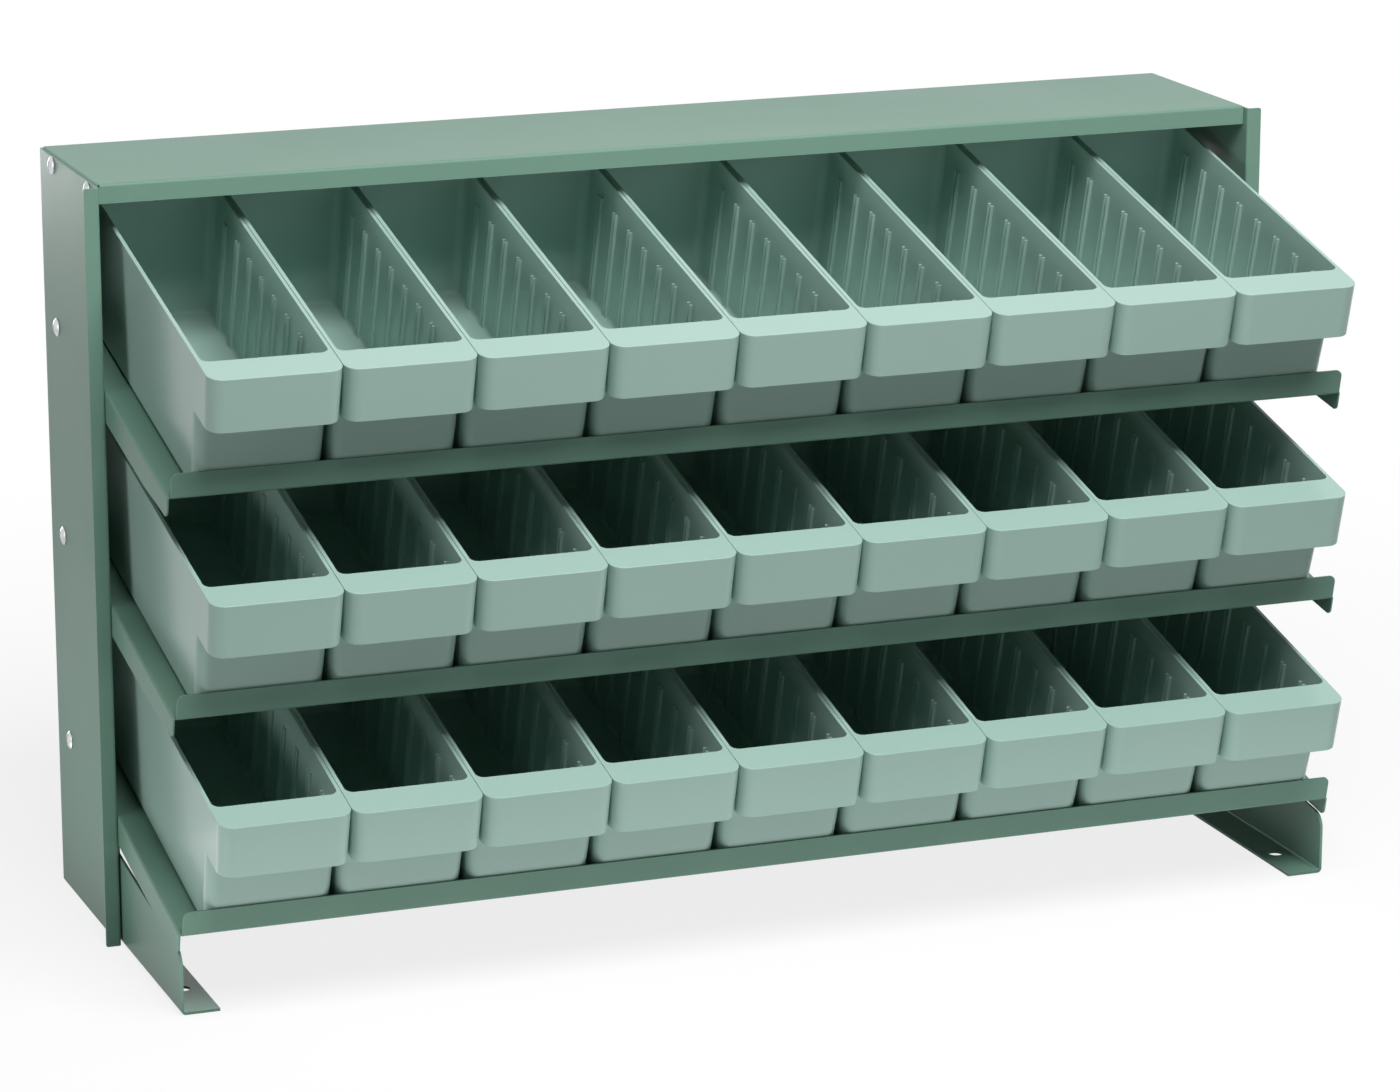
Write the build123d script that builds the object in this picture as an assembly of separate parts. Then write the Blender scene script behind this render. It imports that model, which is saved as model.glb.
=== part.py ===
from build123d import *
import os
from math import cos, radians, sin, tan

# Pick rack: two folded steel uprights carry a top cap and three shelves that slope down to the front.
# Each shelf holds one row of moulded drawers behind an upturned lip, and two legs prop the lowest shelf.
# Millimetres. X runs along the width, -Y is the front, +Z is up. The origin is on the floor, in the middle
# of the footprint. Left is -X, as seen from the front.

# Sheet steel
sheet = 1.2                     # shelves and cap
upright_sheet = 1.5
leg_sheet = 2.0
bend = 1.5                      # bend radius at the middle of the sheet
relief = 0.8                    # gap left between two folds that meet at a corner

# Drawers
drawers_per_row = 9
drawer_width = 95.25            # across the rim
drawer_gap = 0.25               # between neighbouring rims
drawer_height = 101.6
drawer_floor_length = 280.8     # outside, along the bottom
drawer_wall = 2.8
drawer_floor = 2.6
side_draft = 2.4                # each side wall leans out by this much from floor to rim
front_lean = 7.8                # the front wall leans forward by this much from floor to rim
back_lean = 2.6                 # the back wall leans back by this much from floor to rim
drawer_corner = 9.0             # upright corner radius, outside
bottom_round = 4.5              # outside, round the bottom
floor_fillet = 3.0              # inside, between floor and walls
rim_round = 0.5                 # outer edge of the rim

# Hollow band across the drawer's front, which is its handle
band_reach = 27.2               # forward of the front wall's rim
band_height = 39.6
band_corner = 11.0
band_wall = 2.2

# Ribs that hold dividers, in pairs down both side walls
rib_pairs = 8
rib_pitch = 31.75
rib_slot = 3.0                  # between the two ribs of a pair
rib_thickness = 2.0
rib_reach = 2.2                 # out from the wall
rib_round = 0.9                 # along the rib's two free edges
rib_top = 85.0                  # above the drawer's bottom

# Shelves
shelf_rows = ["lower", "middle", "upper"]
shelf_slope = 13.0              # degrees, down to the front
shelf_front_height = 60.2       # lowest shelf's front edge above the floor
lip_height = 18.4               # upturned front lip
lip_corner = 5.0
side_margin = 16.375            # bare shelf between the end drawers and the shelf's side
back_margin = 46.0              # bare shelf behind the drawers
drawer_headroom = 49.5          # from the drawers' rims to the shelf above, square to the shelf
flange_front = 15.8             # side flange's depth at its front end
flange_middle = 20.3            # and at flange_knee from the front
flange_knee = 60.0
flange_back = 23.0              # and at its back end
flange_corner = 5.0
rear_flange = 15.0
shelf_back_gap = 5.5            # between the shelves' rear flanges and the uprights'
seat_clearance = 0.3            # between a drawer and the shelf under it
lip_clearance = 0.3             # between a drawer and the lip in front of it
row_shift = [0.3, -2.0, 0.0]    # how far each row of drawers stands to the right of the middle

# Uprights
upright_depth = 167.4
upright_front_flange = 9.7      # turned outwards, beyond the panel's outer face
upright_rear_flange = 20.0      # turned inwards, from the panel's outer face
upright_corner = 1.5            # rounded ends of the front flange
cap_gap = 0.3                   # between the uprights' top edges and the cap's plate

# Cap
cap_clearance = 21.0            # above the highest point of the top row's drawers
cap_side_flange = 14.0
cap_front_lip = 14.1
cap_lip_gap = 0.3               # between the front lip's ends and the uprights
cap_rear_lip = 56.0
cap_setback = 6.6               # behind the uprights' front face
cap_back_gap = 0.3              # between the cap's rear lip and the uprights' rear flanges

# Legs
leg_setback = 5.2               # behind the lowest shelf's front edge
leg_foot = 28.0                 # width of the foot flange
leg_front_drop = 16.5           # top edge below the shelf, at the leg's front
leg_step_drop = 33.0            # top edge below the shelf, just before the upright
leg_step_inset = 9.4            # the leg steps up this far behind the upright's front face
leg_top_gap = 1.2               # under the shelf's plate, behind that step
leg_tab_behind = 16.0           # the leg steps down again this far behind the rear screw
leg_corner = 12.0
leg_back_gap = 6.8              # before the upright's rear flange
leg_bend = 2.5
foot_hole = 11.1
foot_hole_setback = 48.6        # behind the leg's front edge

# Screws and nuts, quarter inch
screw_diameter = 6.35
screw_length = 12.7             # under the head
head_diameter = 13.5
head_height = 3.0
head_edge = 0.5                 # straight part of the head's side
slot_width = 1.4
slot_depth = 1.3
nut_width = 11.1                # across flats
nut_height = 5.5
nut_clearance = 0.05            # radial, around the screw
nut_chamfer_angle = 30.0
screw_clearance = 0.35          # radial, in the steel
rear_screw_inset = 37.5         # from the uprights' back
front_screw_inset = 27.4        # from the uprights' front face
screw_drop = 9.0                # below the shelf's surface, square to it
cap_screw_drop = 6.8            # below the cap's plate

# Worked out from the sizes above
slope = radians(shelf_slope)
drawer_pitch = drawer_width + drawer_gap
row_width = drawers_per_row * drawer_width + (drawers_per_row - 1) * drawer_gap
shelf_width = row_width + 2 * side_margin
drawer_top = seat_clearance + drawer_height
drawer_front = sheet + lip_clearance + front_lean * (lip_height - seat_clearance) / drawer_height
shelf_depth = drawer_front + drawer_floor_length + back_margin
shelf_pitch = (drawer_top + drawer_headroom + sheet) / cos(slope)
band_front = drawer_front - front_lean - band_reach

overhang = -band_front * cos(slope) + drawer_top * sin(slope)
rear_foot = rear_flange * sin(slope)
frame_depth = shelf_depth * cos(slope) + rear_foot + shelf_back_gap + upright_sheet
back_y = (frame_depth + overhang) / 2
shelf_front_y = back_y - frame_depth
upright_front_y = back_y - upright_depth
inner_back_y = back_y - upright_sheet

panel_inside = shelf_width / 2
panel_outside = panel_inside + upright_sheet
leg_outside = panel_inside - sheet
leg_inside = leg_outside - leg_sheet


def shelf_front_z(row):
    return shelf_front_height + row * shelf_pitch


def shelf_surface_z(row, y):
    return shelf_front_z(row) + (y - shelf_front_y) * tan(slope)


def shelf_plane(row):
    # In this plane X runs along the shelf, Y up its slope and Z square to its surface
    return Plane(
        origin=(0, shelf_front_y, shelf_front_z(row)),
        x_dir=(1, 0, 0),
        z_dir=(0, -sin(slope), cos(slope)),
    )


drawer_peak = drawer_front + drawer_floor_length + back_lean
top_of_drawers = (
    shelf_front_z(len(shelf_rows) - 1) + drawer_peak * sin(slope) + drawer_top * cos(slope)
)
cap_underside = top_of_drawers + cap_clearance
upright_height = cap_underside - cap_gap
cap_top = cap_underside + sheet
cap_front_y = upright_front_y + cap_setback
cap_depth = inner_back_y - cap_back_gap - cap_front_y


def folded_section(points, thickness, radius):
    """A strip of sheet with the given middle line, as a flat face, with rounded folds."""
    return trace(FilletPolyline(*points, radius=radius), line_width=thickness)


def block(low, high):
    """A box from its lowest to its highest corner."""
    size = [top - bottom for bottom, top in zip(low, high)]
    centre = [(top + bottom) / 2 for bottom, top in zip(low, high)]
    return Pos(*centre) * Box(*size)


def cross_hole(y, z, radius, width):
    """A cutter along X through the point (y, z)."""
    return Pos(0, y, z) * Rot(0, 90, 0) * Cylinder(radius, width)


def folded_edge(length, height, corner, at_y, forwards):
    """An edge strip along X: a lip of the given height, up or down, folded off the pan's plate."""
    half = sheet / 2
    inward = 1 if forwards else -1
    overlap = 4 * bend
    points = [
        (at_y + inward * half, height),
        (at_y + inward * half, -half),
        (at_y + inward * overlap, -half),
    ]
    section = Plane.YZ * folded_section(points, sheet, bend)
    strip = extrude(section, amount=length / 2, both=True)
    ends = strip.edges().filter_by(Axis.Y).group_by(Axis.Z)[-1 if height > 0 else 0]
    tips = ends.sort_by(Axis.X)
    return fillet([tips[0], tips[-1]], corner)


def folded_pan(width, depth, side_profile, side_depth, front_height, front_corner, rear_height):
    """A plate with its top at Z = 0 and Y from 0 to depth, side flanges down and lips front and back."""
    half = sheet / 2
    inset = bend + half
    edge = width / 2 - half
    channel = Plane.XZ * folded_section(
        [(-edge, -side_depth), (-edge, -half), (edge, -half), (edge, -side_depth)], sheet, bend
    )
    channel = Pos(0, inset, 0) * extrude(channel, amount=-(depth - 2 * inset))
    channel = channel & side_profile
    lip_length = width - 2 * (sheet + relief)
    front = folded_edge(lip_length, front_height, front_corner, 0, True)
    rear = folded_edge(lip_length, rear_height, relief, depth, False)
    return channel + front + rear


def shelf():
    """One shelf in its own plane, before it is set on its slope."""
    outline = FilletPolyline(
        (bend + sheet / 2, bend),
        (bend + sheet / 2, -flange_front),
        (flange_knee, -flange_middle),
        (shelf_depth, -flange_back),
        (shelf_depth, bend),
        radius=[0, flange_corner, 0, flange_corner, 0],
        close=True,
    )
    profile = extrude(Plane.YZ * make_face(outline), amount=shelf_width, both=True)
    pan = folded_pan(
        shelf_width, shelf_depth, profile, flange_back, lip_height, lip_corner, -rear_flange
    )
    for y in screw_rows():
        along = (y - shelf_front_y) / cos(slope) - screw_drop * tan(slope)
        pan -= cross_hole(along, -screw_drop, screw_diameter / 2 + screw_clearance, 2 * shelf_width)
    return pan


def cap():
    """The top cap, a pan turned down all round."""
    width = 2 * panel_inside
    profile = block((-width, 0, -cap_side_flange), (width, cap_depth, bend))
    pan = folded_pan(
        width, cap_depth, profile, cap_side_flange, -cap_front_lip, relief, -cap_rear_lip
    )
    lip_end = panel_inside - cap_lip_gap
    pan += block((-lip_end, 0, -cap_front_lip), (lip_end, sheet, -bend - sheet / 2))
    for y in screw_rows():
        pan -= cross_hole(
            y - cap_front_y, -sheet - cap_screw_drop, screw_diameter / 2 + screw_clearance, 2 * width
        )
    return Pos(0, cap_front_y, cap_top) * pan


def screw_rows():
    """The two columns of screws in each upright, as Y positions."""
    return [back_y - rear_screw_inset, upright_front_y + front_screw_inset]


def screw_heights(y):
    """Heights of the screws in one column: one for each shelf, then the cap's."""
    drop = screw_drop / cos(slope)
    heights = [shelf_surface_z(row, y) - drop for row in range(len(shelf_rows))]
    return heights + [cap_underside - cap_screw_drop]


def right_upright():
    half = upright_sheet / 2
    points = [
        (panel_outside + upright_front_flange, upright_front_y + half),
        (panel_outside - half, upright_front_y + half),
        (panel_outside - half, back_y - half),
        (panel_outside - upright_rear_flange, back_y - half),
    ]
    frame = extrude(folded_section(points, upright_sheet, bend), amount=upright_height)
    tips = frame.edges().filter_by(Axis.Y).filter_by(
        lambda edge: edge.center().X > panel_outside + upright_front_flange - half
    )
    frame = fillet(tips, upright_corner)
    for y in screw_rows():
        for z in screw_heights(y):
            frame -= cross_hole(y, z, screw_diameter / 2 + screw_clearance, 4 * panel_outside)
    return frame


def right_leg():
    """A bracket inside the lowest shelf's flange, with its foot turned inwards."""
    half = leg_sheet / 2
    front_y = shelf_front_y + leg_setback
    step_y = upright_front_y + leg_step_inset
    tab_y = back_y - rear_screw_inset + leg_tab_behind
    end_y = inner_back_y - leg_back_gap
    under_plate = (sheet + leg_top_gap) / cos(slope)
    side = FilletPolyline(
        (front_y, 0),
        (front_y, shelf_surface_z(0, front_y) - leg_front_drop),
        (step_y, shelf_surface_z(0, step_y) - leg_step_drop),
        (step_y, shelf_surface_z(0, step_y) - under_plate),
        (tab_y, shelf_surface_z(0, tab_y) - under_plate),
        (tab_y, shelf_surface_z(0, tab_y) - leg_step_drop),
        (end_y, shelf_surface_z(0, end_y) - leg_step_drop),
        (end_y, 0),
        radius=[0, leg_corner, bend, bend, bend, bend, bend, 0],
        close=True,
    )
    side = extrude(Plane.YZ * make_face(side), amount=leg_outside)
    tall = shelf_surface_z(0, back_y)
    corner_x = leg_outside - half
    section = folded_section(
        [(corner_x, tall), (corner_x, half), (leg_outside - leg_foot, half)], leg_sheet, leg_bend
    )
    length = end_y - front_y
    bracket = Pos(0, front_y, 0) * extrude(Plane.XZ * section, amount=-length)
    bracket = bracket & side
    for y in screw_rows():
        bracket -= cross_hole(y, screw_heights(y)[0], screw_diameter / 2 + screw_clearance, 2 * tall + 900)
    bracket -= Pos(leg_outside - leg_foot / 2, front_y + foot_hole_setback, 0) * Cylinder(
        foot_hole / 2, 4 * leg_sheet
    )
    return bracket


def screw():
    """A slotted screw, its low domed head above Z = 0 and its shank below."""
    rim = head_diameter / 2
    rise = head_height - head_edge
    dome_radius = (rim**2 + rise**2) / (2 * rise)
    shoulder = rim / 2
    shoulder_height = head_height - dome_radius + (dome_radius**2 - shoulder**2) ** 0.5
    outline = [
        Line((0, 0), (rim, 0)),
        Line((rim, 0), (rim, head_edge)),
        ThreePointArc((rim, head_edge), (shoulder, shoulder_height), (0, head_height)),
        Line((0, head_height), (0, 0)),
    ]
    head = revolve(Plane.XZ * make_face(outline), axis=Axis.Z)
    slot = Pos(0, 0, head_height) * Box(head_diameter + slot_width, slot_width, 2 * slot_depth)
    shank = Cylinder(screw_diameter / 2, screw_length, align=(Align.CENTER, Align.CENTER, Align.MAX))
    return head - slot + shank


def nut():
    """A hexagon nut on Z = 0 with flats towards +X and -X, its upper corners turned down."""
    across = nut_width / 2
    flats = RegularPolygon(across, 6, major_radius=False, rotation=30)
    prism = extrude(flats, amount=nut_height)
    spread = nut_height / tan(radians(nut_chamfer_angle))
    cone = Cone(across + spread, across, nut_height, align=(Align.CENTER, Align.CENTER, Align.MIN))
    bore = Cylinder(screw_diameter / 2 + nut_clearance, 4 * nut_height)
    return (prism & cone) - bore


def fastener_places(level):
    """Points of one level's four fasteners, as (side, y, z); side is -1 on the left and 1 on the right."""
    return [(side, y, screw_heights(y)[level]) for side in (-1, 1) for y in screw_rows()]


def screws_at(level):
    """The four screws of one level, heads on the uprights' outer faces."""
    piece = screw()
    return Compound(
        children=[
            Pos(side * panel_outside, y, z) * Rot(0, side * 90, 0) * piece
            for side, y, z in fastener_places(level)
        ]
    )


def nuts_at(level):
    """The four nuts of one level, against the innermost sheet."""
    piece = nut()
    seat = leg_inside if level == 0 else leg_outside
    return Compound(
        children=[
            Pos(side * seat, y, z) * Rot(0, -side * 90, 0) * piece
            for side, y, z in fastener_places(level)
        ]
    )


def side_x(height):
    """Where a drawer's side wall stands, outside, at a height above its bottom."""
    return drawer_width / 2 - side_draft * (1 - height / drawer_height)


def front_y(height):
    return -front_lean * height / drawer_height


def back_y_at(height):
    return drawer_floor_length + back_lean * height / drawer_height


def drafted_block(low, high, fronts, backs, inset, corner):
    """A block between two heights of a drawer, all its walls drawn in by inset and its upright corners
    rounded. fronts and backs give where its front and back stand at the two heights, before the inset."""
    side = Polyline(
        (fronts[0] + inset, low),
        (backs[0] - inset, low),
        (backs[1] - inset, high),
        (fronts[1] + inset, high),
        close=True,
    )
    lower = side_x(low) - inset
    upper = side_x(high) - inset
    across = Polyline((-lower, low), (lower, low), (upper, high), (-upper, high), close=True)
    along = extrude(Plane.YZ * make_face(side), amount=drawer_width, both=True)
    sides = extrude(Plane.XZ * make_face(across), amount=2 * drawer_floor_length, both=True)
    solid = along & sides
    rise = (high - low) / 2
    uprights = solid.edges().filter_by(lambda edge: edge.bounding_box().size.Z > rise)
    return fillet(uprights, corner)


def drawer_block(low, high, inset):
    """A block with the outline of the drawer's body."""
    fronts = [front_y(low), front_y(high)]
    backs = [back_y_at(low), back_y_at(high)]
    return drafted_block(low, high, fronts, backs, inset, drawer_corner - inset)


def band_block(low, high, inset):
    """A block with the outline of the front band, which reaches back into the drawer."""
    front = -front_lean - band_reach
    back = 2 * band_corner
    return drafted_block(low, high, [front, front], [back, back], inset, band_corner - inset)


def drawer_ribs():
    """The ribs on the right side wall, as one piece for each rib."""
    root = drawer_wall / 2
    low = drawer_floor / 2
    outline = Polyline(
        (side_x(low) - root, low),
        (side_x(rib_top) - root, rib_top),
        (side_x(rib_top) - drawer_wall - rib_reach, rib_top),
        (side_x(low) - drawer_wall - rib_reach, low),
        close=True,
    )
    rib = extrude(Plane.XZ * make_face(outline), amount=rib_thickness / 2, both=True)
    inner = rib.edges().filter_by(Axis.Y, reverse=True).group_by(Axis.X)[0]
    rib = fillet(inner, rib_round)
    middle = (front_y(drawer_height) + back_y_at(drawer_height)) / 2
    first = middle - (rib_pairs - 1) / 2 * rib_pitch
    offset = (rib_slot + rib_thickness) / 2
    places = [first + pair * rib_pitch + shift for pair in range(rib_pairs) for shift in (-offset, offset)]
    return [Pos(0, place, 0) * rib for place in places]


def drawer():
    """One moulded drawer, its bottom front edge on the X axis and its floor at Z = 0."""
    body = drawer_block(0, drawer_height, 0)
    body = fillet(body.edges().group_by(Axis.Z)[0], bottom_round)
    band_low = drawer_height - band_height
    band = band_block(band_low, drawer_height, 0)
    finger_room = band_block(band_low - band_wall, drawer_height - band_wall, band_wall)
    inside = drawer_block(drawer_floor, drawer_height, drawer_wall)
    inside = fillet(inside.edges().group_by(Axis.Z)[0], floor_fillet)
    shell = body + band
    rim = shell.faces().sort_by(Axis.Z)[-1].outer_wire().edges()
    shell = fillet(rim, rim_round)
    shell = shell - (finger_room - body) - inside
    right = drawer_ribs()
    left = [mirror(rib, about=Plane.YZ) for rib in right]
    return shell + right + left


def drawer_place(row, column):
    centre = (column - (drawers_per_row - 1) / 2) * drawer_pitch + row_shift[row]
    return shelf_plane(row) * Pos(centre, drawer_front, seat_clearance)


def save(shape, name):
    export_step(shape, os.path.join("parts", name + ".step"))


def main():
    os.makedirs("parts", exist_ok=True)
    upright = right_upright()
    save(upright, "right_upright")
    save(mirror(upright, about=Plane.YZ), "left_upright")
    leg = right_leg()
    save(leg, "right_leg")
    save(mirror(leg, about=Plane.YZ), "left_leg")
    save(cap(), "top_cap")
    plain_shelf = shelf()
    plain_drawer = drawer()
    for row, name in enumerate(shelf_rows):
        save(shelf_plane(row) * plain_shelf, name + "_shelf")
        for column in range(drawers_per_row):
            placed = drawer_place(row, column) * plain_drawer
            save(placed, f"drawer_{name}_{column + 1}")
    for level, name in enumerate(["lower_shelf", "middle_shelf", "upper_shelf", "cap"]):
        save(screws_at(level), name + "_screws")
        save(nuts_at(level), name + "_nuts")


main()
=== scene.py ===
import bmesh
import bpy
from math import cos, pi, sin, sqrt
from mathutils import Matrix, Vector


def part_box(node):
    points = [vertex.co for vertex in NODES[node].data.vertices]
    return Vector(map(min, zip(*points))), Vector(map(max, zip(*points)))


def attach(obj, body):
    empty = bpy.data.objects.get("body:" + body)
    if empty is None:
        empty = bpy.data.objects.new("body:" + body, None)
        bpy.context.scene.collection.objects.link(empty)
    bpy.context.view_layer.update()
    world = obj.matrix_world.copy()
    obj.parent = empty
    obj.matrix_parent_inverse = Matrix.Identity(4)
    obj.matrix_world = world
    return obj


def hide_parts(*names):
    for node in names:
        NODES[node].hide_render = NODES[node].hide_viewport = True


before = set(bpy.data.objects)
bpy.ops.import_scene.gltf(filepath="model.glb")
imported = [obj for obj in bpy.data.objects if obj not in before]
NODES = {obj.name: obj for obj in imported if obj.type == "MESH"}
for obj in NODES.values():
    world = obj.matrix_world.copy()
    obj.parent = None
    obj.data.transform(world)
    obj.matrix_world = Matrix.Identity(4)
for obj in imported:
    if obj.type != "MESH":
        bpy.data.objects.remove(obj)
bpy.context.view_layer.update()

bl_info = {
    "name": "Pick Rack",
    "version": (1, 0, 0),
    "blender": (4, 5, 0),
    "location": "View3D > Sidebar > Pick Rack",
    "description": "Dresses a folded steel pick rack with sloping shelves and moulded drawers",
    "category": "Add Mesh",
}

DRAWER_NODES = [name for name in NODES if name.startswith("drawer_")]
STEEL_NODES = [name for name in NODES
               if name not in DRAWER_NODES and not name.endswith(("_screws", "_nuts"))]

# What the screws and nuts hold, from the bottom up
LEVELS = ("lower_shelf", "middle_shelf", "upper_shelf", "cap")


# Settings

class EnamelSettings(bpy.types.PropertyGroup):
    """Paint on the folded steel"""

    colour: bpy.props.FloatVectorProperty(
        name="Colour", description="Main tone of the enamel", subtype="COLOR", size=4,
        min=0.0, max=1.0, default=(0.172, 0.300, 0.238, 1.0))
    second_colour: bpy.props.FloatVectorProperty(
        name="Second colour", description="Tone it drifts towards over the sheets", subtype="COLOR",
        size=4, min=0.0, max=1.0, default=(0.155, 0.280, 0.222, 1.0))
    roughness: bpy.props.FloatProperty(
        name="Roughness", description="How dull the enamel is", subtype="FACTOR",
        min=0.0, max=1.0, default=0.36)
    peel_size: bpy.props.FloatProperty(
        name="Orange peel", description="Distance between the paint film's soft bumps",
        unit="LENGTH", min=0.0005, default=0.0035)


class PlasticSettings(bpy.types.PropertyGroup):
    """Moulded plastic of the drawers"""

    colour: bpy.props.FloatVectorProperty(
        name="Colour", description="Main tone of the plastic", subtype="COLOR", size=4,
        min=0.0, max=1.0, default=(0.362, 0.522, 0.468, 1.0))
    second_colour: bpy.props.FloatVectorProperty(
        name="Second colour", description="Tone it drifts towards from drawer to drawer",
        subtype="COLOR", size=4, min=0.0, max=1.0, default=(0.338, 0.502, 0.444, 1.0))
    roughness: bpy.props.FloatProperty(
        name="Roughness", description="How dull the moulded surface is", subtype="FACTOR",
        min=0.0, max=1.0, default=0.20)
    grain_size: bpy.props.FloatProperty(
        name="Grain", description="Size of the mould's fine grain", unit="LENGTH",
        min=0.0001, default=0.0010)


class ZincSettings(bpy.types.PropertyGroup):
    """Bright zinc on the screws and nuts"""

    colour: bpy.props.FloatVectorProperty(
        name="Colour", description="Tone of the zinc", subtype="COLOR", size=4,
        min=0.0, max=1.0, default=(0.68, 0.70, 0.70, 1.0))
    second_colour: bpy.props.FloatVectorProperty(
        name="Second colour", description="Tone of the zinc's duller patches", subtype="COLOR",
        size=4, min=0.0, max=1.0, default=(0.50, 0.52, 0.53, 1.0))
    roughness: bpy.props.FloatProperty(
        name="Roughness", description="How dull the zinc is", subtype="FACTOR",
        min=0.0, max=1.0, default=0.28)


class FastenerSettings(bpy.types.PropertyGroup):
    """Sizes of the screws and nuts"""

    head_diameter: bpy.props.FloatProperty(
        name="Head diameter", description="Diameter of a screw's head", unit="LENGTH",
        min=0.002, default=0.0134)
    head_height: bpy.props.FloatProperty(
        name="Head height", description="Height of a screw's domed head", unit="LENGTH",
        min=0.0005, default=0.00295)
    slot_width: bpy.props.FloatProperty(
        name="Slot width", description="Width of the slot across the head", unit="LENGTH",
        min=0.0002, default=0.0014)
    shank_diameter: bpy.props.FloatProperty(
        name="Shank diameter", description="Outer diameter of the thread", unit="LENGTH",
        min=0.001, default=0.00635)
    shank_length: bpy.props.FloatProperty(
        name="Shank length", description="Length under the head", unit="LENGTH",
        min=0.001, default=0.0127)
    thread_pitch: bpy.props.FloatProperty(
        name="Thread pitch", description="Distance from one turn of the thread to the next",
        unit="LENGTH", min=0.0002, default=0.00127)
    nut_width: bpy.props.FloatProperty(
        name="Nut width", description="Width of a nut across its flats", unit="LENGTH",
        min=0.002, default=0.0111)
    nut_height: bpy.props.FloatProperty(
        name="Nut height", description="Height of a nut", unit="LENGTH", min=0.0005,
        default=0.0055)


class StageSettings(bpy.types.PropertyGroup):
    """Floor, lamps and camera"""

    floor_colour: bpy.props.FloatVectorProperty(
        name="Floor colour", description="Tone of the floor, as the lamps light it",
        subtype="COLOR", size=4, min=0.0, max=1.0, default=(0.17, 0.17, 0.168, 1.0))
    shadow_depth: bpy.props.FloatProperty(
        name="Shadow depth", description="How much of the floor's shading shows under the rack",
        subtype="FACTOR", min=0.0, max=1.0, default=0.18)
    world_strength: bpy.props.FloatProperty(
        name="Room light", description="Strength of the even light from all round",
        min=0.0, default=0.04)
    key_power: bpy.props.FloatProperty(
        name="Key lamp", description="Power of the soft lamp high in front", min=0.0, default=80.0)
    left_power: bpy.props.FloatProperty(
        name="Left lamp", description="Power of the soft lamp low on the left", min=0.0,
        default=15.0)
    front_power: bpy.props.FloatProperty(
        name="Front lamp", description="Power of the soft lamp low in front", min=0.0,
        default=8.0)
    right_power: bpy.props.FloatProperty(
        name="Right lamp", description="Power of the soft lamp low on the right", min=0.0,
        default=12.0)
    back_power: bpy.props.FloatProperty(
        name="Back lamp", description="Power of the soft lamp low behind", min=0.0,
        default=18.0)
    front_panel_power: bpy.props.FloatProperty(
        name="Front floor panel", description="Power of the lit panel in the floor in front",
        min=0.0, default=0.75)
    left_panel_power: bpy.props.FloatProperty(
        name="Left floor panel", description="Power of the lit panel in the floor on the left",
        min=0.0, default=0.45)
    focal_length: bpy.props.FloatProperty(
        name="Focal length", description="Focal length of the camera's lens", unit="CAMERA",
        min=10.0, default=134.3)
    camera_place: bpy.props.FloatVectorProperty(
        name="Camera place", description="Where the camera stands", subtype="TRANSLATION",
        unit="LENGTH", size=3, default=(-1.3293, -3.4758, 1.2496))
    camera_turn: bpy.props.FloatVectorProperty(
        name="Camera turn", description="How the camera is turned", subtype="EULER",
        unit="ROTATION", size=3, default=(pi / 2 - 0.2589, 0.0, -0.3635))


# Shader groups

# Scale of the broad patches of more and less gloss, as a share of the bumps' scale
GLOSS_SCALE = 0.03


def new_group(name, inputs, outputs):
    """A shader node group with the given sockets, as (name, type, default) and (name, type)."""
    group = bpy.data.node_groups.new(name, "ShaderNodeTree")
    for label, kind, default in inputs:
        socket = group.interface.new_socket(label, in_out="INPUT", socket_type=kind)
        if default is not None:
            socket.default_value = default
    for label, kind in outputs:
        group.interface.new_socket(label, in_out="OUTPUT", socket_type=kind)
    return group, group.nodes.new("NodeGroupInput"), group.nodes.new("NodeGroupOutput")


def math_node(tree, operation, first, second):
    """The result of a Math node, whose two inputs may be sockets or numbers."""
    node = tree.nodes.new("ShaderNodeMath")
    node.operation = operation
    for index, value in enumerate((first, second)):
        if isinstance(value, (int, float)):
            node.inputs[index].default_value = value
        else:
            tree.links.new(value, node.inputs[index])
    return node.outputs[0]


def noise_node(tree, vector, scale, detail):
    """The value of a Noise texture whose vector and scale are sockets."""
    node = tree.nodes.new("ShaderNodeTexNoise")
    node.inputs["Detail"].default_value = detail
    tree.links.new(vector, node.inputs["Vector"])
    tree.links.new(scale, node.inputs["Scale"])
    return node.outputs["Fac"]


def tone_drift_group():
    """Two tones that drift into each other over the surface."""
    group, start, end = new_group(
        "Tone drift",
        [("Vector", "NodeSocketVector", None), ("Colour", "NodeSocketColor", (0.5, 0.5, 0.5, 1.0)),
         ("Second Colour", "NodeSocketColor", (0.4, 0.4, 0.4, 1.0)),
         ("Patch Size", "NodeSocketFloat", 0.1)],
        [("Colour", "NodeSocketColor")])
    scale = math_node(group, "DIVIDE", 1.0, start.outputs["Patch Size"])
    patches = noise_node(group, start.outputs["Vector"], scale, detail=3.0)
    spread = group.nodes.new("ShaderNodeMapRange")
    spread.inputs["From Min"].default_value = 0.3
    spread.inputs["From Max"].default_value = 0.7
    group.links.new(patches, spread.inputs["Value"])
    mix = group.nodes.new("ShaderNodeMix")
    mix.data_type = "RGBA"
    group.links.new(spread.outputs["Result"], mix.inputs["Factor"])
    group.links.new(start.outputs["Colour"], mix.inputs["A"])
    group.links.new(start.outputs["Second Colour"], mix.inputs["B"])
    group.links.new(mix.outputs["Result"], end.inputs["Colour"])
    return group


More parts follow.
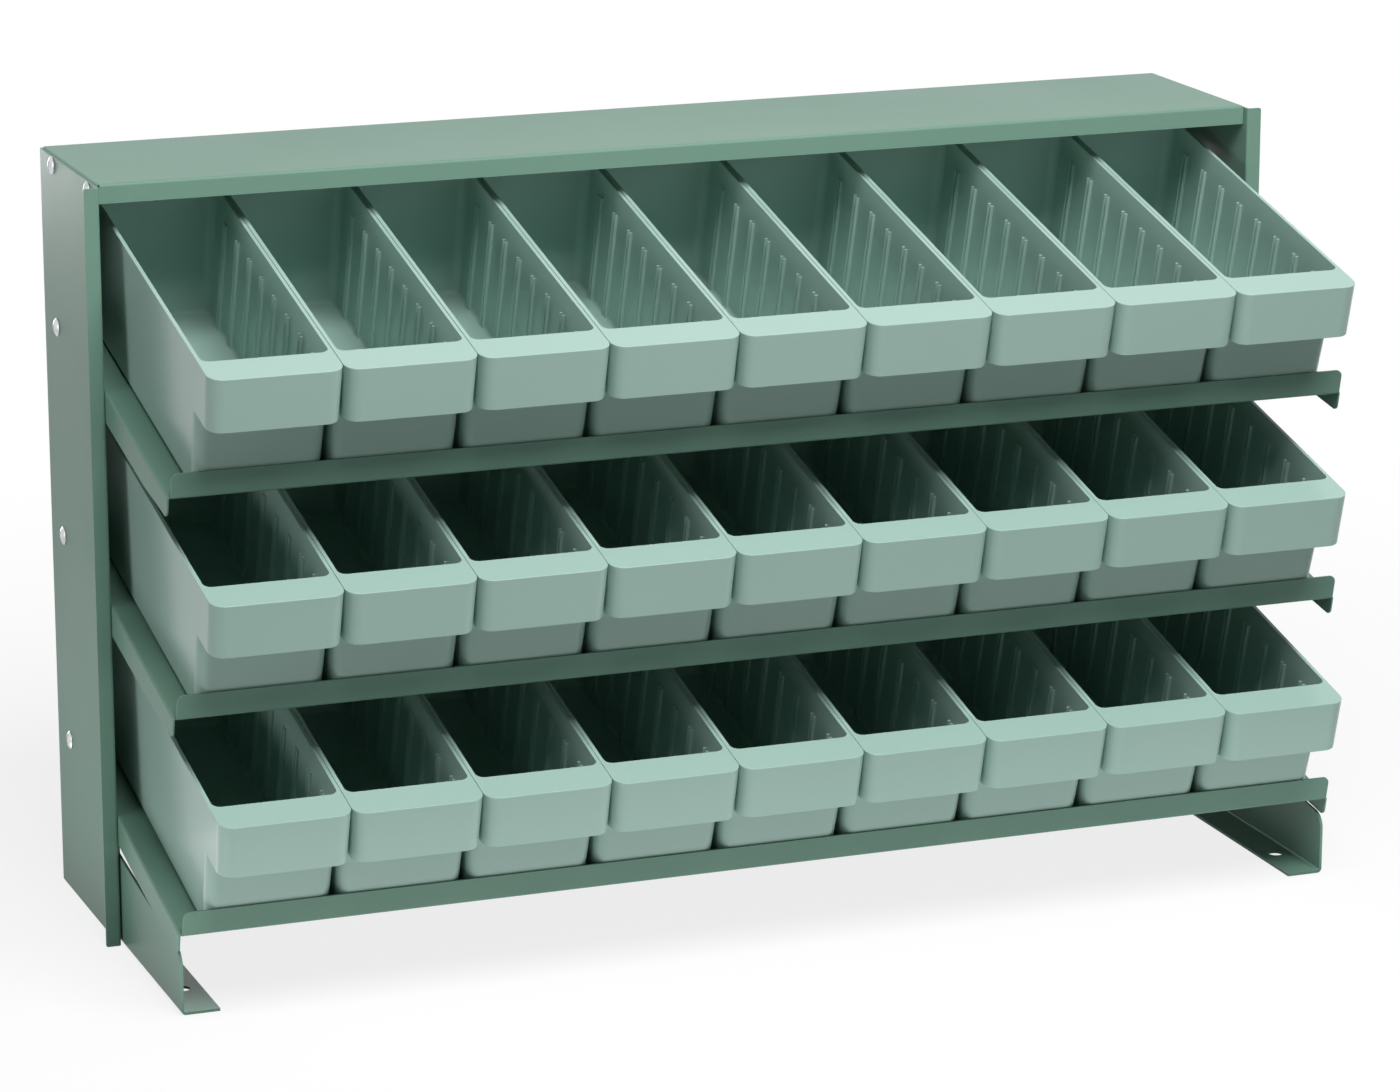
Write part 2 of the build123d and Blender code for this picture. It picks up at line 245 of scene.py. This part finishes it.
def fine_grain_group():
    """Fine soft bumps, as a height, and a roughness that varies more broadly."""
    group, start, end = new_group(
        "Fine grain",
        [("Vector", "NodeSocketVector", None), ("Grain Size", "NodeSocketFloat", 0.001),
         ("Roughness", "NodeSocketFloat", 0.4), ("Roughness Spread", "NodeSocketFloat", 0.06)],
        [("Height", "NodeSocketFloat"), ("Roughness", "NodeSocketFloat")])
    vector = start.outputs["Vector"]
    scale = math_node(group, "DIVIDE", 1.0, start.outputs["Grain Size"])
    bumps = noise_node(group, vector, scale, detail=2.0)
    broad_scale = math_node(group, "MULTIPLY", scale, GLOSS_SCALE)
    broad = noise_node(group, vector, broad_scale, detail=3.0)
    centred = math_node(group, "SUBTRACT", broad, 0.5)
    spread = math_node(group, "MULTIPLY", centred, start.outputs["Roughness Spread"])
    doubled = math_node(group, "MULTIPLY", spread, 2.0)
    roughness = math_node(group, "ADD", start.outputs["Roughness"], doubled)
    group.links.new(bumps, end.inputs["Height"])
    group.links.new(roughness, end.inputs["Roughness"])
    return group


# Materials

def empty_tree(owner):
    """The node tree of a material or a world, with no nodes in it."""
    owner.use_nodes = True
    owner.node_tree.nodes.clear()
    return owner.node_tree


def place_group(tree, name, make, values):
    """A node of the named group, which is made the first time, with the given inputs set."""
    node = tree.nodes.new("ShaderNodeGroup")
    node.node_tree = bpy.data.node_groups.get(name) or make()
    for label, value in values.items():
        node.inputs[label].default_value = value
    return node


def finish_material(name, settings, patch_size, grain_size, gloss_spread, bump, bump_distance):
    """A material made of the two shared effects with its own values, and its shader."""
    material = bpy.data.materials.new(name)
    tree = empty_tree(material)
    shader = tree.nodes.new("ShaderNodeBsdfPrincipled")
    output = tree.nodes.new("ShaderNodeOutputMaterial")
    coordinates = tree.nodes.new("ShaderNodeTexCoord")
    drift = place_group(tree, "Tone drift", tone_drift_group, {
        "Colour": tuple(settings.colour), "Second Colour": tuple(settings.second_colour),
        "Patch Size": patch_size})
    grain = place_group(tree, "Fine grain", fine_grain_group, {
        "Grain Size": grain_size, "Roughness": settings.roughness,
        "Roughness Spread": gloss_spread})
    for effect in (drift, grain):
        tree.links.new(coordinates.outputs["Object"], effect.inputs["Vector"])
    bump_node = tree.nodes.new("ShaderNodeBump")
    bump_node.inputs["Strength"].default_value = bump
    bump_node.inputs["Distance"].default_value = bump_distance
    tree.links.new(grain.outputs["Height"], bump_node.inputs["Height"])
    tree.links.new(drift.outputs["Colour"], shader.inputs["Base Color"])
    tree.links.new(grain.outputs["Roughness"], shader.inputs["Roughness"])
    tree.links.new(bump_node.outputs["Normal"], shader.inputs["Normal"])
    tree.links.new(shader.outputs["BSDF"], output.inputs["Surface"])
    return material, shader


def paint_nodes(names, material):
    """Gives CAD nodes one material all over."""
    for name in names:
        slots = NODES[name].material_slots
        for slot in slots:
            slot.material = material
        if not slots:
            NODES[name].data.materials.append(material)


# Meshes

# Facets round a turned piece
TURNED_FACETS = 48


def new_object(name, data):
    """An object in the scene that holds a mesh, a lamp or a camera."""
    piece = bpy.data.objects.new(name, data)
    bpy.context.scene.collection.objects.link(piece)
    return piece


def closed_mesh(name, shape):
    """The mesh of a finished bmesh, with its faces turned outwards."""
    bmesh.ops.recalc_face_normals(shape, faces=shape.faces)
    mesh = bpy.data.meshes.new(name)
    shape.to_mesh(mesh)
    shape.free()
    return mesh


def lathe(name, profile):
    """A closed solid turned about Z from (radius, height) points, upwards from axis to axis."""
    shape = bmesh.new()
    turn = [2 * pi * step / TURNED_FACETS for step in range(TURNED_FACETS)]
    rings = []
    for radius, height in profile:
        if radius == 0:
            rings.append([shape.verts.new((0, 0, height))])
        else:
            rings.append([shape.verts.new((radius * cos(a), radius * sin(a), height))
                          for a in turn])
    for low, high in zip(rings, rings[1:]):
        for step in range(TURNED_FACETS):
            after = (step + 1) % TURNED_FACETS
            corners = [low[step % len(low)], low[after % len(low)],
                       high[after % len(high)], high[step % len(high)]]
            corners = list(dict.fromkeys(corners))
            if len(corners) > 2:
                shape.faces.new(corners)
    return closed_mesh(name, shape)


def box_mesh(name, size, centre):
    shape = bmesh.new()
    place = Matrix.Translation(centre) @ Matrix.Diagonal((*size, 1.0))
    bmesh.ops.create_cube(shape, size=1.0, matrix=place)
    return closed_mesh(name, shape)


def prism_mesh(name, across, height, sides):
    """An upright prism on Z = 0 with the given width across its flats, a flat towards +X."""
    corner = across / 2 / cos(pi / sides)
    turn = [pi / sides + 2 * pi * side / sides for side in range(sides)]
    shape = bmesh.new()
    low = [shape.verts.new((corner * cos(a), corner * sin(a), 0)) for a in turn]
    high = [shape.verts.new((v.co.x, v.co.y, height)) for v in low]
    shape.faces.new(low)
    shape.faces.new(high)
    for side in range(sides):
        after = (side + 1) % sides
        shape.faces.new([low[side], low[after], high[after], high[side]])
    return closed_mesh(name, shape)


def finished_mesh(piece, name):
    """The piece's mesh with its modifiers applied, and the piece removed."""
    bpy.context.view_layer.update()
    seen = piece.evaluated_get(bpy.context.evaluated_depsgraph_get())
    mesh = bpy.data.meshes.new_from_object(seen)
    mesh.name = name
    bpy.data.objects.remove(piece)
    return mesh


def combined(name, mesh, tools):
    """The mesh cut by, or kept within, other meshes, given as (operation, mesh)."""
    piece = new_object(name, mesh)
    helpers = []
    for operation, tool_mesh in tools:
        tool = new_object(name + " tool", tool_mesh)
        modifier = piece.modifiers.new(operation, "BOOLEAN")
        modifier.operation = operation
        modifier.object = tool
        helpers.append(tool)
    result = finished_mesh(piece, name)
    for tool in helpers:
        bpy.data.objects.remove(tool)
    return result


def smooth_by_angle(mesh, angle):
    """Rounds the shading over shallow edges and keeps the sharp ones."""
    shape = bmesh.new()
    shape.from_mesh(mesh)
    bmesh.ops.remove_doubles(shape, verts=shape.verts, dist=1e-6)
    for face in shape.faces:
        face.smooth = True
    for edge in shape.edges:
        edge.smooth = edge.is_manifold and edge.calc_face_angle(pi) < angle
    shape.to_mesh(mesh)
    shape.free()


# Screws and nuts

# A thread's form, as shares of its pitch: how deep it is, and where along one turn its root ends,
# its crest starts and ends, and its root starts again
THREAD_DEPTH = 0.6
ROOT_END, CREST_START, CREST_END, ROOT_START = 0.12, 0.44, 0.56, 0.88

# A screw's head: its straight rim and its slot's depth as shares of its height, the rounding under
# the rim as a share of the rim, its flat underside as a share of its radius, and the dome's rings
HEAD_RIM = 0.16
RIM_ROUNDING = 0.3
HEAD_UNDERSIDE = 0.96
SLOT_DEPTH = 0.42
DOME_RINGS = 12

# A screw's shank: its tip's width as a share of its own, and in metres the tip's bevel and where
# the thread ends and the plain neck starts under the head
TIP_WIDTH = 0.72
TIP_BEVEL = 0.0003
THREAD_END = -0.0012
NECK_START = -0.001

# A nut: its turned faces' width as a share of its own across flats, the slope of its turned
# corners, the turning's reach as a share of theirs, and in metres its bore's clearance and bevel
NUT_FACE = 0.96
CORNER_SLOPE = 0.55
CORNER_REACH = 1.01
BORE_CLEARANCE = 0.00005
BORE_BEVEL = 0.0005

# How far a cutting shape stands out past the face that it cuts, in metres
CUT_BEYOND = 0.001

# Edges of the screws and nuts that turn by more than this stay sharp, in radians
SHARP_ANGLE = 0.6


def thread_profile(radius, pitch, start, end):
    """Points of a thread's outline between two heights, as rings."""
    root = radius - THREAD_DEPTH * pitch
    points = []
    for turn in range(int((end - start) / pitch)):
        base = start + turn * pitch
        points += [(root, base), (root, base + ROOT_END * pitch),
                   (radius, base + CREST_START * pitch), (radius, base + CREST_END * pitch),
                   (root, base + ROOT_START * pitch)]
    points.append((root, end))
    return points


def screw_mesh(sizes):
    """A slotted screw, its head above Z = 0 and its shank below."""
    height = sizes.head_height
    radius = sizes.head_diameter / 2
    rim = HEAD_RIM * height
    rise = height - rim
    dome = (radius * radius + rise * rise) / (2 * rise)
    tip = -sizes.shank_length
    shank = sizes.shank_diameter / 2
    profile = [(0, tip), (TIP_WIDTH * shank, tip)]
    profile += thread_profile(shank, sizes.thread_pitch, tip + TIP_BEVEL, THREAD_END)
    profile += [(shank, NECK_START), (shank, 0), (HEAD_UNDERSIDE * radius, 0),
                (radius, RIM_ROUNDING * rim), (radius, rim)]
    for ring in range(1, DOME_RINGS):
        across = radius * (1 - ring / DOME_RINGS)
        profile.append((across, height - dome + sqrt(dome * dome - across * across)))
    profile.append((0, height))
    slot = box_mesh("Slot", (2 * radius + 2 * CUT_BEYOND, sizes.slot_width,
                             2 * SLOT_DEPTH * height), (0, 0, height))
    return combined("Screw", lathe("Screw", profile), [("DIFFERENCE", slot)])


def nut_mesh(sizes):
    """A nut on Z = 0 with both ends turned, flats towards +X and -X."""
    height = sizes.nut_height
    face = NUT_FACE * sizes.nut_width / 2
    corner = sizes.nut_width / 2 / cos(pi / 6)
    drop = (corner - face) * CORNER_SLOPE
    reach = CORNER_REACH * corner
    turned = [(0, 0), (face, 0), (reach, drop), (reach, height - drop), (face, height), (0, height)]
    bore = sizes.shank_diameter / 2 + BORE_CLEARANCE
    mouth = bore + BORE_BEVEL + CUT_BEYOND
    hole = [(0, -CUT_BEYOND), (mouth, -CUT_BEYOND), (bore, BORE_BEVEL),
            (bore, height - BORE_BEVEL), (mouth, height + CUT_BEYOND), (0, height + CUT_BEYOND)]
    prism = prism_mesh("Nut", sizes.nut_width, height, sides=6)
    return combined("Nut", prism, [("INTERSECT", lathe("Turned", turned)),
                                   ("DIFFERENCE", lathe("Bore", hole))])


def fastener_tree():
    """Sets the incoming fastener at both ends of a row on both sides of the rack."""
    tree = bpy.data.node_groups.new("Fastener rows", "GeometryNodeTree")
    for label, kind in (("Fastener", "NodeSocketGeometry"), ("Rear Point", "NodeSocketVector"),
                        ("Front Point", "NodeSocketVector"), ("Turn", "NodeSocketFloat"),
                        ("Material", "NodeSocketMaterial")):
        tree.interface.new_socket(label, in_out="INPUT", socket_type=kind)
    tree.interface.new_socket("Fasteners", in_out="OUTPUT", socket_type="NodeSocketGeometry")
    start = tree.nodes.new("NodeGroupInput")
    end = tree.nodes.new("NodeGroupOutput")
    join = tree.nodes.new("GeometryNodeJoinGeometry")
    for side in (1.0, -1.0):
        line = tree.nodes.new("GeometryNodeMeshLine")
        line.mode = "END_POINTS"
        line.inputs["Count"].default_value = 2
        for socket, label in (("Start Location", "Rear Point"), ("Offset", "Front Point")):
            mirror = tree.nodes.new("ShaderNodeVectorMath")
            mirror.operation = "MULTIPLY"
            mirror.inputs[1].default_value = (side, 1.0, 1.0)
            tree.links.new(start.outputs[label], mirror.inputs[0])
            tree.links.new(mirror.outputs[0], line.inputs[socket])
        turn = math_node(tree, "MULTIPLY", start.outputs["Turn"], side)
        rotation = tree.nodes.new("ShaderNodeCombineXYZ")
        tree.links.new(turn, rotation.inputs["Y"])
        copies = tree.nodes.new("GeometryNodeInstanceOnPoints")
        tree.links.new(line.outputs["Mesh"], copies.inputs["Points"])
        tree.links.new(start.outputs["Fastener"], copies.inputs["Instance"])
        tree.links.new(rotation.outputs[0], copies.inputs["Rotation"])
        tree.links.new(copies.outputs["Instances"], join.inputs["Geometry"])
    realize = tree.nodes.new("GeometryNodeRealizeInstances")
    coat = tree.nodes.new("GeometryNodeSetMaterial")
    tree.links.new(join.outputs["Geometry"], realize.inputs["Geometry"])
    tree.links.new(realize.outputs["Geometry"], coat.inputs["Geometry"])
    tree.links.new(start.outputs["Material"], coat.inputs["Material"])
    tree.links.new(coat.outputs["Geometry"], end.inputs["Fasteners"])
    return tree


def run_tree(name, mesh, tree, values):
    """The mesh that a geometry tree makes of another mesh, with its named inputs set."""
    piece = new_object(name, mesh)
    modifier = piece.modifiers.new("Rows", "NODES")
    modifier.node_group = tree
    for item in tree.interface.items_tree:
        if item.in_out == "INPUT" and item.name in values:
            modifier[item.identifier] = values[item.name]
    return finished_mesh(piece, name)


def add_piece(name, mesh, body, replaced):
    """Puts a finished mesh in the scene in place of a CAD node."""
    piece = new_object(name, mesh)
    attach(piece, body)
    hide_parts(replaced)


# Stage, with its places and sizes in metres

WHITE = (1.0, 1.0, 1.0, 1.0)

# Half the floor's side, its height just under the feet, its tone where the camera sees its shading,
# and how far from the rack's middle that shading starts to fade and is gone
FLOOR_HALF = 6.0
FLOOR_LEVEL = -0.0005
FLOOR_SHADED_TONE = (0.9, 0.9, 0.9, 1.0)
SHADOW_FADE = (0.5, 1.5)

# Where the soft lamps point, then each one's name, power setting, place, width and height
LAMP_TARGET = (0.0, 0.0, 0.25)
LAMPS = (
    ("Key lamp", "key_power", (0.1, -1.45, 2.4), 1.8, 1.1),
    ("Left lamp", "left_power", (-2.6, -0.40, 0.75), 1.1, 0.8),
    ("Front lamp", "front_power", (0.3, -3.2, 0.35), 1.6, 0.6),
    ("Right lamp", "right_power", (2.6, 0.4, 0.8), 1.1, 0.8),
    ("Back lamp", "back_power", (-0.2, 2.7, 0.29), 1.9, 0.5),
)

# How high the lit floor panels lie, then each one's name, power setting and two corners
PANEL_LEVEL = 0.001
FLOOR_PANELS = (
    ("Front floor panel", "front_panel_power", (-0.60, -0.36), (0.58, -0.15)),
    ("Left floor panel", "left_panel_power", (-0.72, -0.30), (-0.53, 0.24)),
)


def seen_background(tree, seen, unseen):
    """Mixes two shaders: the first where the camera, a gloss or a clear part looks at it."""
    path = tree.nodes.new("ShaderNodeLightPath")
    camera_or_gloss = math_node(
        tree, "MAXIMUM", path.outputs["Is Camera Ray"], path.outputs["Is Glossy Ray"])
    share = math_node(tree, "MAXIMUM", camera_or_gloss, path.outputs["Is Transmission Ray"])
    mix = tree.nodes.new("ShaderNodeMixShader")
    tree.links.new(share, mix.inputs["Fac"])
    tree.links.new(unseen, mix.inputs[1])
    tree.links.new(seen, mix.inputs[2])
    return mix.outputs["Shader"]


def plain_shader(tree, kind, colour, strength=None):
    """The output of a shader node of one colour, and of one strength if it has one."""
    node = tree.nodes.new(kind)
    node.inputs["Color"].default_value = tuple(colour)
    if strength is not None:
        node.inputs["Strength"].default_value = strength
    return node.outputs[0]


def set_world(strength):
    """An even room light that looks white to the camera."""
    world = bpy.data.worlds.new("White studio")
    tree = empty_tree(world)
    white = plain_shader(tree, "ShaderNodeBackground", WHITE, 1.0)
    room = plain_shader(tree, "ShaderNodeBackground", WHITE, strength)
    output = tree.nodes.new("ShaderNodeOutputWorld")
    tree.links.new(seen_background(tree, white, room), output.inputs["Surface"])
    bpy.context.scene.world = world


def floor_material(colour, shadow_depth):
    """White to the camera with some shadow near the rack, and a matt tone to the lamps' light."""
    material = bpy.data.materials.new("Pale floor")
    tree = empty_tree(material)
    matt = plain_shader(tree, "ShaderNodeBsdfDiffuse", colour)
    shaded = plain_shader(tree, "ShaderNodeBsdfDiffuse", FLOOR_SHADED_TONE)
    glow = plain_shader(tree, "ShaderNodeEmission", WHITE, 1.0)
    coordinates = tree.nodes.new("ShaderNodeTexCoord")
    away = tree.nodes.new("ShaderNodeVectorMath")
    away.operation = "LENGTH"
    tree.links.new(coordinates.outputs["Object"], away.inputs[0])
    share = tree.nodes.new("ShaderNodeMapRange")
    share.interpolation_type = "SMOOTHSTEP"
    share.inputs["From Min"].default_value = SHADOW_FADE[0]
    share.inputs["From Max"].default_value = SHADOW_FADE[1]
    share.inputs["To Min"].default_value = 1.0 - shadow_depth
    share.inputs["To Max"].default_value = 1.0
    tree.links.new(away.outputs["Value"], share.inputs["Value"])
    blend = tree.nodes.new("ShaderNodeMixShader")
    tree.links.new(share.outputs["Result"], blend.inputs["Fac"])
    tree.links.new(shaded, blend.inputs[1])
    tree.links.new(glow, blend.inputs[2])
    output = tree.nodes.new("ShaderNodeOutputMaterial")
    tree.links.new(seen_background(tree, blend.outputs[0], matt), output.inputs["Surface"])
    return material


def add_floor(material):
    mesh = bpy.data.meshes.new("Floor")
    corners = [(FLOOR_HALF * x, FLOOR_HALF * y, FLOOR_LEVEL)
               for x, y in ((-1, -1), (1, -1), (1, 1), (-1, 1))]
    mesh.from_pydata(corners, [], [(0, 1, 2, 3)])
    mesh.materials.append(material)
    new_object("Floor", mesh)


def add_lamp(name, place, target, width, height, power):
    """A soft lamp at a place, turned towards its target."""
    light = bpy.data.lights.new(name, "AREA")
    light.shape = "RECTANGLE"
    light.size = width
    light.size_y = height
    light.energy = power
    lamp = new_object(name, light)
    lamp.location = place
    lamp.rotation_mode = "QUATERNION"
    lamp.rotation_quaternion = (Vector(target) - Vector(place)).to_track_quat("-Z", "Y")
    return lamp


def add_floor_panel(name, low, high, power):
    """A lit panel level with the floor that the camera doesn't see, between two corners."""
    x, y = (low[0] + high[0]) / 2, (low[1] + high[1]) / 2
    panel = add_lamp(
        name, (x, y, PANEL_LEVEL), (x, y, 1.0), high[0] - low[0], high[1] - low[1], power)
    panel.visible_camera = False


def add_camera(settings):
    lens = bpy.data.cameras.new("Camera")
    lens.sensor_width = 36.0
    lens.lens = settings.focal_length
    lens.clip_end = 100.0
    camera = new_object("Camera", lens)
    camera.location = settings.camera_place
    camera.rotation_euler = settings.camera_turn
    bpy.context.scene.camera = camera


# Operators

class PaintSteel(bpy.types.Operator):
    """Paint the uprights, the cap, the shelves and the legs"""

    bl_idname = "pick_rack.paint_steel"
    bl_label = "Paint the folded steel"

    def execute(self, context):
        settings = context.scene.pick_rack_enamel
        enamel, shader = finish_material(
            "Grey-green enamel", settings, patch_size=0.35, grain_size=settings.peel_size,
            gloss_spread=0.05, bump=0.12, bump_distance=0.0002)
        shader.inputs["IOR"].default_value = 1.52
        shader.inputs["Specular IOR Level"].default_value = 0.09
        paint_nodes(STEEL_NODES, enamel)
        return {"FINISHED"}


class DressDrawers(bpy.types.Operator):
    """Give the drawers their moulded plastic"""

    bl_idname = "pick_rack.dress_drawers"
    bl_label = "Dress the drawers"

    def execute(self, context):
        settings = context.scene.pick_rack_plastic
        plastic, shader = finish_material(
            "Moulded drawer plastic", settings, patch_size=0.30, grain_size=settings.grain_size,
            gloss_spread=0.05, bump=0.06, bump_distance=0.0001)
        shader.inputs["IOR"].default_value = 1.49
        shader.inputs["Specular IOR Level"].default_value = 0.20
        paint_nodes(DRAWER_NODES, plastic)
        return {"FINISHED"}


class DressFasteners(bpy.types.Operator):
    """Set threaded zinc screws and nuts in place of the plain ones"""

    bl_idname = "pick_rack.dress_fasteners"
    bl_label = "Dress the screws and nuts"

    def execute(self, context):
        zinc, shader = finish_material(
            "Bright zinc", context.scene.pick_rack_zinc, patch_size=0.006, grain_size=0.0006,
            gloss_spread=0.10, bump=0.10, bump_distance=0.0001)
        shader.inputs["Metallic"].default_value = 1.0
        sizes = context.scene.pick_rack_fasteners
        tree = fastener_tree()
        screw, nut = screw_mesh(sizes), nut_mesh(sizes)
        smooth_by_angle(screw, SHARP_ANGLE)
        smooth_by_angle(nut, SHARP_ANGLE)
        # Kind, mesh, half its width, how far it stands out past its seat, and its turn about Y
        kinds = (("screws", screw, sizes.head_diameter / 2, sizes.head_height, pi / 2),
                 ("nuts", nut, sizes.nut_width / 2, 0.0, -pi / 2))
        for level in LEVELS:
            for kind, mesh, reach, proud, turn in kinds:
                node = f"{level}_{kind}"
                low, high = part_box(node)
                seat = high.x - proud
                rows = run_tree(f"zinc_{node}", mesh, tree, {
                    "Rear Point": (seat, high.y - reach, high.z - reach),
                    "Front Point": (seat, low.y + reach, low.z + reach),
                    "Turn": turn, "Material": zinc})
                add_piece(f"zinc_{node}", rows, "rack", node)
        return {"FINISHED"}


class SetStage(bpy.types.Operator):
    """Set up the floor, the lamps, the room light and the camera"""

    bl_idname = "pick_rack.set_stage"
    bl_label = "Set the stage"

    def execute(self, context):
        settings = context.scene.pick_rack_stage
        context.scene.view_settings.view_transform = "Standard"
        set_world(settings.world_strength)
        add_floor(floor_material(settings.floor_colour, settings.shadow_depth))
        for name, power, place, width, height in LAMPS:
            add_lamp(name, place, LAMP_TARGET, width, height, getattr(settings, power))
        for name, power, low, high in FLOOR_PANELS:
            add_floor_panel(name, low, high, getattr(settings, power))
        add_camera(settings)
        return {"FINISHED"}


class PickRackPanel(bpy.types.Panel):
    """Lists the pick rack's operators"""

    bl_idname = "VIEW3D_PT_pick_rack"
    bl_label = "Pick Rack"
    bl_space_type = "VIEW_3D"
    bl_region_type = "UI"
    bl_category = "Pick Rack"

    def draw(self, context):
        for operator in OPERATORS:
            self.layout.operator(operator.bl_idname)


SETTINGS = {
    "pick_rack_enamel": EnamelSettings,
    "pick_rack_plastic": PlasticSettings,
    "pick_rack_zinc": ZincSettings,
    "pick_rack_fasteners": FastenerSettings,
    "pick_rack_stage": StageSettings,
}
OPERATORS = [PaintSteel, DressDrawers, DressFasteners, SetStage]
CLASSES = [*SETTINGS.values(), *OPERATORS, PickRackPanel]


def register():
    for cls in CLASSES:
        bpy.utils.register_class(cls)
    for name, group in SETTINGS.items():
        setattr(bpy.types.Scene, name, bpy.props.PointerProperty(type=group))


def unregister():
    for name in SETTINGS:
        delattr(bpy.types.Scene, name)
    for cls in reversed(CLASSES):
        bpy.utils.unregister_class(cls)


def main():
    register()
    bpy.ops.pick_rack.paint_steel()
    bpy.ops.pick_rack.dress_drawers()
    bpy.ops.pick_rack.dress_fasteners()
    bpy.ops.pick_rack.set_stage()


if __name__ == "__main__":
    main()
